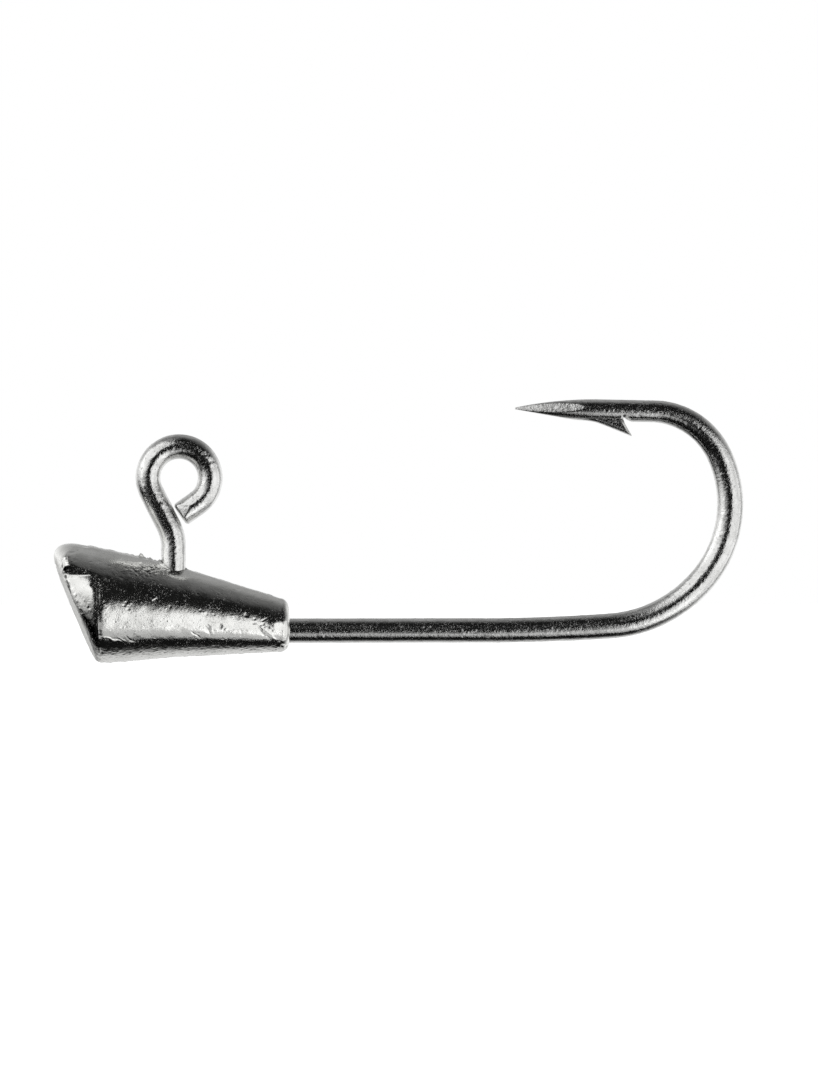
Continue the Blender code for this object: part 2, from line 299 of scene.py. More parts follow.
# large odd numbers that mix the bits: one for each axis, then a shift and a factor a round
HASH_AXES = (374761393, 668265263, 2147483647)
HASH_ROUNDS = ((15, 2246822519), (13, 3266489917), (16, 668265263))
HASH_LAST_SHIFT = 15
HASH_SEED_STEP = 974711
HASH_SEED_START = 13
HASH_MASK = 0xFFFFFFFF
SPOT_SCATTER = 0.6              # how far spots stray from the middles of their cells
SPOT_LEAST = 0.25               # their least radius, in cells
SPOT_SPREAD = 0.35              # and what chance adds to it
TINY = 1e-20                    # keeps a division by no length harmless


def smoothstep(low, high, x):
    """A soft step from 0 at `low` to 1 at `high`, whichever of the two is larger."""
    t = np.clip((x - low) / (high - low), 0.0, 1.0)
    return t * t * (3.0 - 2.0 * t)


def hash3(ix, iy, iz, seed):
    """A repeatable random number from 0 to 1 for each whole-numbered place."""
    mask = np.uint64(HASH_MASK)
    h = np.uint64(seed * HASH_SEED_STEP + HASH_SEED_START)
    for whole, factor in zip((ix, iy, iz), HASH_AXES):
        h = h ^ (whole.astype(np.int64).astype(np.uint64) * np.uint64(factor))
    h &= mask
    for shift, factor in HASH_ROUNDS:
        h = ((h ^ (h >> np.uint64(shift))) * np.uint64(factor)) & mask
    return (h ^ (h >> np.uint64(HASH_LAST_SHIFT))).astype(np.float64) / float(HASH_MASK)


def noise(points, size, seed):
    """Smooth noise from -1 to 1 with features of about the given size."""
    p = points / size
    cell = np.floor(p)
    f = p - cell
    f = f * f * f * (f * (f * 6.0 - 15.0) + 10.0)
    total = np.zeros(len(p))
    for dx, dy, dz in itertools.product((0, 1), repeat=3):
        weight = f[:, 0] if dx else 1 - f[:, 0]
        weight = weight * (f[:, 1] if dy else 1 - f[:, 1])
        weight = weight * (f[:, 2] if dz else 1 - f[:, 2])
        total += weight * hash3(cell[:, 0] + dx, cell[:, 1] + dy, cell[:, 2] + dz, seed)
    return 2.0 * total - 1.0


def fractal(points, size, octaves, seed):
    """Layers of noise, each half as large and half as strong as the one before."""
    return sum(noise(points, size / 2 ** k, seed + k) / 2 ** k for k in range(octaves))


def uneven(points, size, octaves, mean, swing, most, seed):
    """Fractal noise about a mean, held between 0 and the given most."""
    return np.clip(mean + swing * fractal(points, size, octaves, seed), 0.0, most)


def spots(points, size, share, seed):
    """Round spots, 0 to 1, in the given share of a grid of cells of the given size."""
    p = points / size
    cell = np.floor(p)
    best = np.zeros(len(p))
    for step in itertools.product((-1, 0, 1), repeat=3):
        c = cell + step
        args = (c[:, 0], c[:, 1], c[:, 2])
        stray = np.stack([hash3(*args, seed + k) for k in (1, 2, 3)], 1) - 0.5
        centre = c + 0.5 + SPOT_SCATTER * stray
        radius = SPOT_LEAST + SPOT_SPREAD * hash3(*args, seed + 4)
        there = hash3(*args, seed + 5) < share
        distance = np.linalg.norm(p - centre, axis=1) / radius
        best = np.maximum(best, there * np.clip(1.0 - distance ** 2, 0.0, 1.0))
    return best


# ================================================================ mesh helpers

def add_object(name, mesh):
    obj = bpy.data.objects.new(name, mesh)
    bpy.context.scene.collection.objects.link(obj)
    return obj


def face_outwards(mesh):
    bm = bmesh.new()
    bm.from_mesh(mesh)
    bmesh.ops.recalc_face_normals(bm, faces=bm.faces)
    bm.to_mesh(mesh)
    bm.free()


def tube_object(name, rings):
    """A closed tube of quads through rings of points, shape (rings, sides, 3), with poles."""
    count, sides, _ = rings.shape
    here = np.arange(sides)
    beside = (here + 1) % sides
    quads = []
    for start in range(0, (count - 1) * sides, sides):
        end = start + sides
        quads.append(np.stack([start + here, start + beside, end + beside, end + here], 1))
    faces = np.concatenate(quads).tolist()
    first_pole, last_pole = count * sides, count * sides + 1
    last_ring = (count - 1) * sides
    pairs = list(zip(here.tolist(), beside.tolist()))
    faces += [[first_pole, b, a] for a, b in pairs]
    faces += [[last_pole, last_ring + a, last_ring + b] for a, b in pairs]
    poles = [rings[0].mean(axis=0), rings[-1].mean(axis=0)]
    mesh = bpy.data.meshes.new(name)
    mesh.from_pydata(np.concatenate([rings.reshape(-1, 3), poles]).tolist(), [], faces)
    mesh.update()
    face_outwards(mesh)
    return add_object(name, mesh)


def apply_modifiers(obj):
    bpy.context.view_layer.update()
    evaluated = obj.evaluated_get(bpy.context.evaluated_depsgraph_get())
    mesh = bpy.data.meshes.new_from_object(evaluated)
    obj.modifiers.clear()
    obj.data = mesh


def cut_or_join(obj, other, operation):
    modifier = obj.modifiers.new(operation, "BOOLEAN")
    modifier.operation = operation
    modifier.solver = "EXACT"
    modifier.object = other
    apply_modifiers(obj)
    bpy.data.objects.remove(other, do_unlink=True)


# ================================================================ the hook

class Pen:
    """Draws a route in the XZ plane as closely spaced stations with their headings."""

    def __init__(self, x, z, heading):
        self.place = np.array([x, z])
        self.heading = math.radians(heading)
        self.length = 0.0
        self.rows = [(x, z, self.heading, 0.0)]

    def draw(self, length, turn=0.0):
        steps = max(2, math.ceil(length / RING_STEP))
        bend = turn / steps
        chord = length / steps if turn == 0 else 2 * length / turn * math.sin(bend / 2)
        for _ in range(steps):
            direction = self.heading + bend / 2
            self.place = self.place + chord * np.array([math.cos(direction), math.sin(direction)])
            self.heading += bend
            self.length += length / steps
            self.rows.append((*self.place, self.heading, self.length))

    def arc(self, radius, degrees):
        turn = math.radians(degrees)
        self.draw(radius * abs(turn), turn)


def hook_route():
    """Stations along the wire from the cut end at the eye to the tip: x, z, heading, length."""
    lean = math.radians(NECK_LEAN)
    start = math.radians(EYE_START)
    end_x = EYE_R * math.cos(start) + EYE_END * math.sin(start)
    end_z = EYE_R * math.sin(start) - EYE_END * math.cos(start)
    pen = Pen(end_x, end_z, EYE_START + 90.0)
    pen.draw(EYE_END)
    pen.arc(EYE_R, 180.0 + NECK_LEAN - EYE_START)
    eye_end = pen.length
    pen.draw((LEG_X - pen.place[0] - NECK_R * (1.0 - math.cos(lean))) / math.sin(lean))
    pen.arc(NECK_R, -NECK_LEAN)
    pen.draw(pen.place[1] - SHANK_Z - LEG_BEND_R)
    pen.arc(LEG_BEND_R, 90.0)
    pen.draw(SHANK_END_X - pen.place[0])
    marks = {"eye_end": eye_end, "bend_start": pen.length}
    for radius, degrees in BEND_ARCS:
        pen.arc(radius, degrees)
    marks["bend_end"] = pen.length
    pen.draw(POINT_LENGTH)
    marks["tip"] = pen.length
    return np.array(pen.rows), marks


def wire_half_sizes(along, marks):
    """Half the wire's size in the hook's plane and across it, at each station."""
    bend = np.clip((along - marks["bend_start"]) / (marks["bend_end"] - marks["bend_start"]), 0, 1)
    forged = np.sin(math.pi * bend ** BEND_SWELL_SKEW)
    base = WIRE_R + (POINT_R - WIRE_R) * bend ** 3
    left = np.clip((marks["tip"] - along) / TAPER_LENGTH, 0, 1)
    needle = 1.0 - (1.0 - left) ** 2
    ground = TIP_R + (base - TIP_R) * needle
    in_plane = ground + BEND_SWELL * forged
    across = ground - BEND_FLATTEN * forged
    return in_plane, across


def wire_surface(stations, marks):
    """The plain wire as rings of points, their outward directions, and each side's angle."""
    x, z, heading, along = stations.T
    in_plane, across = wire_half_sizes(along, marks)
    turn = np.linspace(0.0, 2 * math.pi, RING_SIDES, endpoint=False)
    side = np.stack([-np.sin(heading), np.zeros(len(along)), np.cos(heading)], 1)
    y_axis = np.array([0.0, 1.0, 0.0])
    middle = np.stack([x, np.zeros(len(along)), z], 1)
    offset = (in_plane[:, None] * np.cos(turn))[..., None] * side[:, None, :]
    offset = offset + (across[:, None] * np.sin(turn))[..., None] * y_axis
    out = offset / np.linalg.norm(offset, axis=2, keepdims=True)
    return middle[:, None, :] + offset, out, turn


def flatten(points, place, normal):
    """Press what stands past a plane down to it, leaving it a little rounded."""
    normal = np.array(normal) / np.linalg.norm(normal)
    past = np.clip((points - np.array(place)) @ normal, 0.0, None)
    return points - FLAT_PRESS * past[..., None] * normal


def grind_flats(points, along, marks):
    """The flats on the needle and the one left by the cutter at the closed end of the eye."""
    tip = points[-1].mean(axis=0)
    needle = marks["tip"] - along < TAPER_LENGTH
    for normal in NEEDLE_FLATS:
        place = tip + np.array(normal) / np.linalg.norm(normal) * NEEDLE_FLAT_DEPTH
        points[needle] = flatten(points[needle], place, normal)
    tail = along < TAIL_FLAT_REACH
    middle = points[0].mean(axis=0)
    normal = np.array(TAIL_FLAT) / np.linalg.norm(TAIL_FLAT)
    points[tail] = flatten(points[tail], middle + normal * TAIL_FLAT_DEPTH, normal)
    return points


def wire_relief(points, along, turn, marks):
    """Height of the plating over the wire: drawn lines, grains, nodules and shallow dents."""
    rings, sides, _ = points.shape
    flat = points.reshape(-1, 3)
    lines = np.stack([
        np.repeat(along, sides) / LINE_STRETCH,
        WIRE_R * np.tile(np.cos(turn), rings),
        WIRE_R * np.tile(np.sin(turn), rings),
    ], 1)
    rough = smoothstep(*PLATING_ROUGH, noise(flat, PLATING_PATCH, seed=5))
    height = LINE_HEIGHT * noise(lines, LINE_SIZE, seed=3)
    height += WAVE_HEIGHT * noise(flat, WAVE_SIZE, seed=17)
    for size, smooth, extra, seed in WIRE_GRAINS:
        height += (smooth + extra * rough) * noise(flat, size, seed)
    for size, smooth, extra, seed in WIRE_SPOTS:
        height += (smooth + extra * rough) * spots(flat, size, WIRE_SPOT_SHARE, seed)
    at_eye = (flat[:, 2] > EYE_GRAIN_Z) & (flat[:, 0] < HEAD_REAR_X)
    height *= np.where(at_eye, EYE_GRAIN, 1.0)
    fade = smoothstep(-GROUND_PAST_TIP, TAPER_LENGTH, marks["tip"] - along)
    on_shank = points[..., 2].mean(axis=1) < SHANK_Z + WIRE_R
    polished = on_shank & (points[..., 0].mean(axis=1) < HEAD_REAR_X + POLISHED_LENGTH)
    fade = fade * np.where(polished, POLISHED_GRAIN, 1.0)
    fade = GROUND_GRAIN + (1.0 - GROUND_GRAIN) * fade
    return height.reshape(rings, sides) * fade[:, None]


def round_cut_end(points, along):
    """Draw in the first rings, where the wire was sheared off, to a small worn edge."""
    depth = np.clip(1.0 - along / WORN_LENGTH, 0.0, 1.0)
    shrink = 1.0 - WORN_SHRINK * depth ** 2
    middle = points.mean(axis=1, keepdims=True)
    return middle + (points - middle) * shrink[:, None, None]


def barb_depth(s):
    """How far the barb's lower edge lies below the tip, at the distance s behind it."""
    past = s - BARB_KNEE
    return BARB_KNEE_DEPTH + BARB_SLOPE * past + BARB_SWING * np.sqrt(past ** 2 + BARB_BLEND ** 2)


def barb_blade(tip):
    """The raised keel under the point that ends in the barb: upright sides, a worn lower edge."""
    rings = []
    for share in np.linspace(0.0, 1.0, BLADE_RINGS):
        s = BARB_START + (BARB_END - BARB_START) * share
        low = barb_depth(s)
        half = BARB_HALF + BLADE_SPREAD * share
        section = [(-half, BLADE_TOP)]
        section += [(-half + inward * BLADE_BEVEL, low - up * BLADE_BEVEL) for inward, up in BLADE_EDGE]
        section += [(0.0, low)] + [(-y, depth) for y, depth in reversed(section)]
        lean = BLADE_SLANT * share ** 2
        rings.append([(tip[0] + s - lean * (low - depth), y, tip[1] - depth) for y, depth in section])
    return tube_object("barb_blade", np.array(rings))


def barb_notch(tip):
    """The gap behind the barb, right across the wire; it opens a little towards both sides."""
    root_s, root_depth = np.array(NOTCH_ROOT) * MM
    arc = [math.radians(degrees) for degrees in np.linspace(*NOTCH_ROOT_ARC, NOTCH_ROOT_STEPS)]
    rings = []
    for y, grow in NOTCH_FLARE:
        radius = NOTCH_ROOT_R + grow
        outline = [(s * MM - grow, depth * MM) for s, depth in NOTCH_FRONT]
        outline += [(root_s + radius * math.cos(a), root_depth + radius * math.sin(a)) for a in arc]
        outline += [(s * MM, depth * MM - up * grow) for s, depth, up in NOTCH_REAR]
        rings.append([(tip[0] + s, y, tip[1] - depth) for s, depth in outline])
    return tube_object("barb_notch", np.array(rings))


def make_hook():
    """The wire piece, and the place of its tip."""
    stations, marks = hook_route()
    along = stations[:, 3]
    points, out, turn = wire_surface(stations, marks)
    points = grind_flats(points, along, marks)
    points = points + out * wire_relief(points, along, turn, marks)[..., None]
    hook = tube_object("hook_wire", round_cut_end(points, along))
    tip = stations[-1, :2]
    cut_or_join(hook, barb_blade(tip), "UNION")
    cut_or_join(hook, barb_notch(tip), "DIFFERENCE")
    hook.data.shade_smooth()
    hook.data.set_sharp_from_angle(angle=math.radians(SHARP_ANGLE))
    return hook, (tip[0], 0.0, tip[1])


# ================================================================ the head

def bent_line(x, at_waist, front, rear):
    """A value at the waist that changes by two slopes, ahead and behind, softly joined."""
    ahead = HEAD_WAIST_X - x
    soft = np.sqrt(ahead ** 2 + WAIST_BLEND ** 2)
    return at_waist + 0.5 * (front + rear) * ahead + 0.5 * (front - rear) * soft


def head_radius(x):
    return bent_line(x, HEAD_WAIST_R, TAPER_FRONT, TAPER_REAR)


def head_axis(x):
    """Height of the middle of the head's section."""
    return bent_line(x, HEAD_WAIST_Z, FALL_FRONT, FALL_REAR)


def section_height(turn):
    """Height of the section's outline over its middle, for a radius of 1."""
    return np.sin(turn) - SECTION_SAG * np.cos(turn) ** 2


def section_ring(x, radius, middle_z, turn):
    """A ring of the head's section; x is one place, or one for each direction."""
    x = np.broadcast_to(x, turn.shape)
    return np.stack([x, radius * np.cos(turn), middle_z + radius * section_height(turn)], -1)


def side_point(x, turn):
    return section_ring(x, head_radius(x), head_axis(x), turn)


def nose_x(turn):
    """Where the slanted nose plane meets the side, for each direction round the head."""
    slope = math.tan(math.radians(NOSE_LEAN))
    x = np.full(len(turn), NOSE_POINT.x)
    for _ in range(NOSE_X_ROUNDS):
        z = head_axis(x) + head_radius(x) * section_height(turn)
        x = 0.5 * x + 0.5 * (NOSE_POINT.x - (z - NOSE_POINT.z) * slope)
    return x


def crease_x(front, level):
    """Where the chamfer round the nose ends on the side."""
    least = front + NOSE_ROUND_LOW
    swing = smoothstep(*SWING_LEVELS, level) * (1.0 - CREASE_RETURN * smoothstep(*RETURN_LEVELS, level))
    crease = CREASE_X + (CREASE_TOP_X - CREASE_X) * swing
    apart = np.sqrt((least - crease) ** 2 + CREASE_BLEND ** 2)
    return 0.5 * (least + crease + apart)


def nose_rings(rim, level, on_side):
    """The flat nose face, and the chamfer round it up to the crease on the side."""
    centre = np.array(NOSE_POINT)
    inset = NOSE_ROUND_LOW + NOSE_ROUND_SIDE * smoothstep(*SIDE_LEVELS, level)
    inset += NOSE_ROUND_TOP * smoothstep(*TOP_LEVELS, level)
    inward = centre - rim
    inward /= np.linalg.norm(inward, axis=1, keepdims=True)
    on_face = rim + inward * inset[:, None]
    softness = CREASE_SOFTNESS + (CREASE_SOFTNESS_TOP - CREASE_SOFTNESS) * smoothstep(*SOFT_LEVELS, level)
    rings = []
    for share in np.linspace(NOSE_POLE_SHARE, 1.0, NOSE_RINGS + 1)[:-1]:
        rings.append(centre + (on_face - centre) * share)
    for t in np.linspace(0.0, 1.0, ROUND_RINGS + 1)[:-1]:
        flat = on_face + (on_side - on_face) * t
        full = (1 - t) ** 2 * on_face + 2 * t * (1 - t) * rim + t ** 2 * on_side
        rings.append(flat + (full - flat) * softness[:, None])
    return rings


def rear_rings(turn):
    """The rounded edge at the rear, and the flat rear face."""
    start = HEAD_REAR_X - HEAD_REAR_ROUND
    start_r, rear_r = head_radius(np.array([start, HEAD_REAR_X]))
    start_z, rear_z = head_axis(np.array([start, HEAD_REAR_X]))
    rings = []
    for a in np.linspace(0.0, math.pi / 2, REAR_ROUND_RINGS + 1)[:-1]:
        gone = 1.0 - math.cos(a)
        x = start + HEAD_REAR_ROUND * math.sin(a)
        radius = start_r - (start_r - rear_r + HEAD_REAR_ROUND) * gone
        rings.append(section_ring(x, radius, start_z + (rear_z - start_z) * gone, turn))
    for share in np.linspace(1.0, REAR_POLE_SHARE, REAR_FACE_RINGS):
        rings.append(section_ring(HEAD_REAR_X, (rear_r - HEAD_REAR_ROUND) * share, rear_z, turn))
    return rings


def head_surface():
    """The plain head as rings of points from the middle of the nose to that of the rear."""
    turn = np.linspace(0.0, 2 * math.pi, HEAD_SIDES, endpoint=False)
    front = nose_x(turn)
    rim = side_point(front, turn)
    level = (rim[:, 2] - rim[:, 2].min()) / np.ptp(rim[:, 2])
    start = crease_x(front, level)
    end = HEAD_REAR_X - HEAD_REAR_ROUND
    rings = nose_rings(rim, level, side_point(start, turn))
    for t in np.linspace(0.0, 1.0, SIDE_RINGS + 1)[:-1]:
        rings.append(side_point(start + (end - start) * t, turn))
    return np.array(rings + rear_rings(turn))


def surface_normals(rings):
    """The outward direction at each point of the rings."""
    along = np.gradient(rings, axis=0)
    around = (np.roll(rings, -1, axis=1) - np.roll(rings, 1, axis=1)) / 2
    normal = np.cross(along, around)
    normal /= np.maximum(np.linalg.norm(normal, axis=2, keepdims=True), TINY)
    outward = ((rings - rings.mean(axis=(0, 1))) * normal).sum(axis=2).mean()
    return normal if outward > 0 else -normal


def stroke(x, z, start, end, width):
    """How near each point is to a line scratched on the side of the head, from 0 to 1."""
    start, end = np.array(start) * MM, np.array(end) * MM
    run = end - start
    raw = ((x - start[0]) * run[0] + (z - start[1]) * run[1]) / (run @ run)
    share = np.clip(raw, 0.0, 1.0)
    away = np.hypot(x - start[0] - share * run[0], z - start[1] - share * run[1])
    taper = np.clip(4.0 * share * (1.0 - share), 0.0, 1.0) ** 0.7
    return np.exp(-(away / width) ** 2) * taper


def patch(x, z, middle, size):
    """1 in the middle of an oval on the side of the head, fading to 0 around it."""
    off = ((x / MM - middle[0]) / size[0]) ** 2 + ((z / MM - middle[1]) / size[1]) ** 2
    return np.exp(-off)


def behind_nose(x, z):
    """Distance behind the plane of the nose face."""
    return (x - NOSE_POINT.x) * NOSE_COS + (z - NOSE_POINT.z) * NOSE_SIN


def on_near_side(x, y, z):
    """1 on the camera's side of the head, 0 on its far side and on the nose face."""
    return (y < 0) * smoothstep(0.0, FACE_MARGIN, behind_nose(x, z))


def wavering(p, reach, size):
    """X and Z of the points, shifted unevenly so that straight strokes waver."""
    return p[:, 0] + reach * noise(p, size, seed=83), p[:, 2] + reach * noise(p, size, seed=89)


def round_leg(x, y, reach):
    """1 at the leg, fading over the given reach around it."""
    return np.exp(-np.clip(np.hypot(x - LEG_X, y) - WIRE_R, 0, None) / reach)


def casting_grain(p):
    """Waves, dimples and pits all over the casting, and coarser sand marks on parts of it."""
    x, _, z = p.T
    height = np.zeros(len(p))
    for size, scale_x, rise, seed in HEAD_GRAINS:
        height += rise * noise(p * (scale_x, 1.0, 1.0), size, seed)
    for size, scale_x, share, rise, seed in HEAD_SPOTS:
        height += rise * spots(p * (scale_x, 1.0, 1.0), size, share, seed)
    drop = (head_axis(x) - z) / head_radius(x)
    sandy = smoothstep(*SAND_DROP, drop)
    sandy += SAND_ON_FACE * smoothstep(*SAND_FACE_DEPTH, behind_nose(x, z))
    for middle, size, strength in SAND_PATCHES:
        sandy += strength * patch(x, z, middle, size)
    sand = SAND_GRAIN_HEIGHT * fractal(p, SAND_GRAIN_SIZE, octaves=2, seed=101)
    sand += SAND_SPOT_HEIGHT * spots(p, SAND_SPOT_SIZE, SAND_SPOT_SHARE, seed=103)
    return height + sandy * sand


def seam_and_flash(p):
    """The ragged line where the mould's halves met, and the flash on it ahead of the leg."""
    x, y, z = p.T
    ends = smoothstep(*SEAM_REAR, x) * smoothstep(*SEAM_FRONT, behind_nose(x, z))
    seam = SEAM_HEIGHT * np.exp(-(y / SEAM_HALF) ** 2) * uneven(p, **SEAM_RAG) * ends
    flash = FLASH_HEIGHT * np.exp(-(y / FLASH_HALF) ** 2) * (z > head_axis(x))
    return seam + flash * uneven(p * FLASH_DRAWN_OUT, **FLASH_FLAKES) * patch(x, z, *FLASH_PATCH)


def foot_and_crumbs(p):
    """The lead round the foot of the leg, and crumbs of it on the camera's side."""
    x, y, z = p.T
    near = y < 0
    above = z > head_axis(x)
    crumbs = CRUMB_HEIGHT * spots(p, CRUMB_SIZE, CRUMB_SHARE, seed=67)
    crumbs += CRUMB_GRAIN_HEIGHT * noise(p, CRUMB_GRAIN_SIZE, seed=71)
    height = crumbs * near * patch(x, z, *CRUMB_PATCH)
    height += MENISCUS_HEIGHT * round_leg(x, y, MENISCUS_REACH) * above * ~near
    off = ((x - LEG_X) / LEG_DENT_HALF[0]) ** 2 + ((y - LEG_DENT_Y) / LEG_DENT_HALF[1]) ** 2
    return height - LEG_DENT * np.exp(-off) * above


def side_marks(p):
    """Scratches, the furrow and lumps on the camera's side."""
    x, y, z = p.T
    bent_x, bent_z = wavering(p, SCAR_WAVER, SCAR_WAVER_SIZE)
    broken = uneven(p, **SCAR_BREAKS) * on_near_side(x, y, z)
    height = np.zeros(len(p))
    for start, end, width, rise in SCARS + FURROW:
        height += rise * MM * stroke(bent_x, bent_z, start, end, width * MM) * broken
    for middle, size, rise in LUMPS:
        height += rise * MM * patch(x, z, middle, size) * (y < 0)
    return height


def worn_edges(rings):
    """How far the edges of the nose's chamfer are worn down, unevenly."""
    row = np.arange(len(rings))
    wear = np.zeros(rings.shape[:2])
    for ring, width in WORN_EDGES:
        ragged = 1.0 + EDGE_RAG * fractal(rings[ring], EDGE_RAG_SIZE, octaves=2, seed=73)
        wear += EDGE_WEAR * np.exp(-((row - ring) / width) ** 2)[:, None] * ragged
    return wear


def head_relief(rings):
    """Height of the casting over the plain shape."""
    p = rings.reshape(-1, 3)
    height = casting_grain(p) + seam_and_flash(p) + foot_and_crumbs(p) + side_marks(p)
    return height.reshape(rings.shape[:2]) - worn_edges(rings)


def head_painted_shade(p):
    """Where dark shade is painted into the lead's colour, from 0 to 1."""
    x, y, z = p.T
    bent_x, bent_z = wavering(p, PAINTED_SHADE_WAVER, PAINTED_SHADE_WAVER_SIZE)
    on_side = on_near_side(x, y, z)
    painted_shade = PAINTED_SHADE_AT_LEG * round_leg(x, y, PAINTED_SHADE_LEG_REACH) * (z > head_axis(x))
    for start, end, width, _ in FURROW:
        line = stroke(bent_x, bent_z, start, end, PAINTED_SHADE_WIDEN * width * MM)
        painted_shade = np.maximum(painted_shade, PAINTED_SHADE_IN_FURROW * line * on_side)
    gaps = smoothstep(*PAINTED_SHADE_CRUMB_RANGE, fractal(p, PAINTED_SHADE_CRUMB_SIZE, octaves=2, seed=127))
    painted_shade = np.maximum(painted_shade, PAINTED_SHADE_IN_CRUMBS * gaps * (y < 0) * patch(x, z, *PAINTED_SHADE_PATCH))
    return np.clip(painted_shade * uneven(p, **PAINTED_SHADE_SPECKLE), 0.0, 1.0)


def make_head():
    rings = head_surface()
    # the painted shade mask, kept on the head's points for its material
    painted_shade = head_painted_shade(rings.reshape(-1, 3))
    head = tube_object("cast_head", rings + surface_normals(rings) * head_relief(rings)[..., None])
    # painted shade: the mask that darkens the lead in the furrow, round the leg's foot and between the
    # crumbs
    layer = head.data.attributes.new("painted_shade", "FLOAT", "POINT")
    poles = len(head.data.vertices) - len(painted_shade)
    layer.data.foreach_set("value", np.append(painted_shade, np.zeros(poles)).astype(np.float32))
    head.data.shade_smooth()
    return head


# ================================================================ materials

TIN_LIGHT = (0.74, 0.74, 0.73, 1)
TIN_DARK = (0.62, 0.62, 0.61, 1)
TIN_SPECK = (0.26, 0.26, 0.255, 1)
TIN_ROUGHNESS = (0.13, 0.52)
TIN_GRAIN_BUMP = 8.0 * MICRON
TIN_FINE_BUMP = 1.8 * MICRON
TIN_FROM_TIP = (1.4 * MM, 2.8 * MM)     # the ground point has less grain than the wire
TIN_AT_TIP = 0.55
LEAD_LIGHT = (0.80, 0.80, 0.78, 1)
LEAD_DARK = (0.68, 0.68, 0.66, 1)
LEAD_PIT = (0.26, 0.26, 0.25, 1)
# painted shade: the near-black mixed into the lead in the furrow, round the leg's foot and between the
# crumbs
LEAD_PAINTED_SHADE = (0.10, 0.10, 0.098, 1)
LEAD_ROUGHNESS = (0.14, 0.50)
LEAD_GRAIN_BUMP = 4.6 * MICRON
LEAD_FINE_BUMP = 3.0 * MICRON
LEAD_COARSE_DEPTH = (0.25 * MM, 0.02 * MM)      # the nose face is as rough as the sand left it
MIX_FACTOR, MIX_A, MIX_B, MIX_RESULT = 0, 6, 7, 2       # sockets of a Mix node for colours


class Tree:
    """Builds a node tree: each call makes a node and links or sets its inputs."""

    def __init__(self, tree):
        self.tree = tree

    def put(self, socket, value):
        if isinstance(value, bpy.types.NodeSocket):
            self.tree.links.new(value, socket)
        else:
            socket.default_value = value

    def add(self, kind, settings=None, **inputs):
        node = self.tree.nodes.new(kind)
        for key, value in (settings or {}).items():
            setattr(node, key, value)
        for key, value in inputs.items():
            self.put(node.inputs[key], value)
        return node

    def noise(self, where, size, detail=2.0, rough=0.5):
        node = self.add("ShaderNodeTexNoise", Vector=where, Scale=1.0 / size, Detail=detail, Roughness=rough)
        return node.outputs["Fac"]

    def ramp(self, value, low, high, to_low=0.0, to_high=1.0):
        node = self.add("ShaderNodeMapRange", {"interpolation_type": "SMOOTHSTEP"}, Value=value)
        for name, number in (("From Min", low), ("From Max", high), ("To Min", to_low), ("To Max", to_high)):
            node.inputs[name].default_value = number
        return node.outputs["Result"]

    def patches(self, where, size, low, high, detail=3.0, rough=0.5, to_low=0.0):
        """Noise as patches: `to_low` where it is under `low`, 1 where it is over `high`."""
        return self.ramp(self.noise(where, size, detail, rough), low, high, to_low)

    def math(self, operation, a, b):
        node = self.add("ShaderNodeMath", {"operation": operation})
        self.put(node.inputs[0], a)
        self.put(node.inputs[1], b)
        return node.outputs[0]

    def measure(self, operation, a, b):
        """A number from two vectors: their distance or their dot product."""
        node = self.add("ShaderNodeVectorMath", {"operation": operation})
        self.put(node.inputs[0], a)
        self.put(node.inputs[1], b)
        return node.outputs["Value"]

    def mix(self, factor, a, b):
        node = self.add("ShaderNodeMix", {"data_type": "RGBA"})
        for index, value in ((MIX_FACTOR, factor), (MIX_A, a), (MIX_B, b)):
            self.put(node.inputs[index], value)
        return node.outputs[MIX_RESULT]

    def bump(self, height, distance, **normal):
        node = self.add("ShaderNodeBump", Height=height, Strength=1.0, Distance=distance, **normal)
        return node.outputs["Normal"]


def new_material(name):
    mat = bpy.data.materials.new(name)
    mat.use_nodes = True
    shader = mat.node_tree.nodes["Principled BSDF"]
    shader.inputs["Metallic"].default_value = 1.0
    tree = Tree(mat.node_tree)
    where = tree.add("ShaderNodeTexCoord").outputs["Object"]
    return mat, shader, tree, where


def tinned_wire(tip):
    """Bright tin with duller, darker specks, fewer of them on the ground point."""
    mat, shader, t, where = new_material("tinned_wire")
    plated = t.ramp(t.measure("DISTANCE", where, tip), *TIN_FROM_TIP, to_low=TIN_AT_TIP)
    clouds = t.patches(where, size=0.55 * MM, low=0.35, high=0.68)
    specks = t.patches(where, size=0.085 * MM, low=0.61, high=0.68, rough=0.65)
    colour = t.mix(specks, t.mix(clouds, TIN_LIGHT, TIN_DARK), TIN_SPECK)
    dull = t.patches(where, size=0.060 * MM, low=0.52, high=0.66, rough=0.6)
    fields = t.patches(where, size=0.50 * MM, low=0.38, high=0.62, detail=2.0, to_low=0.35)
    dull = t.math("MULTIPLY", t.math("MULTIPLY", dull, fields), plated)
    grain = t.math("MULTIPLY", t.noise(where, size=0.075 * MM, rough=0.6), plated)
    fine = t.noise(where, size=0.035 * MM)
    normal = t.bump(fine, TIN_FINE_BUMP, Normal=t.bump(grain, TIN_GRAIN_BUMP))
    t.put(shader.inputs["Base Color"], colour)
    t.put(shader.inputs["Roughness"], t.ramp(dull, 0.0, 1.0, *TIN_ROUGHNESS))
    t.put(shader.inputs["Normal"], normal)
    return mat


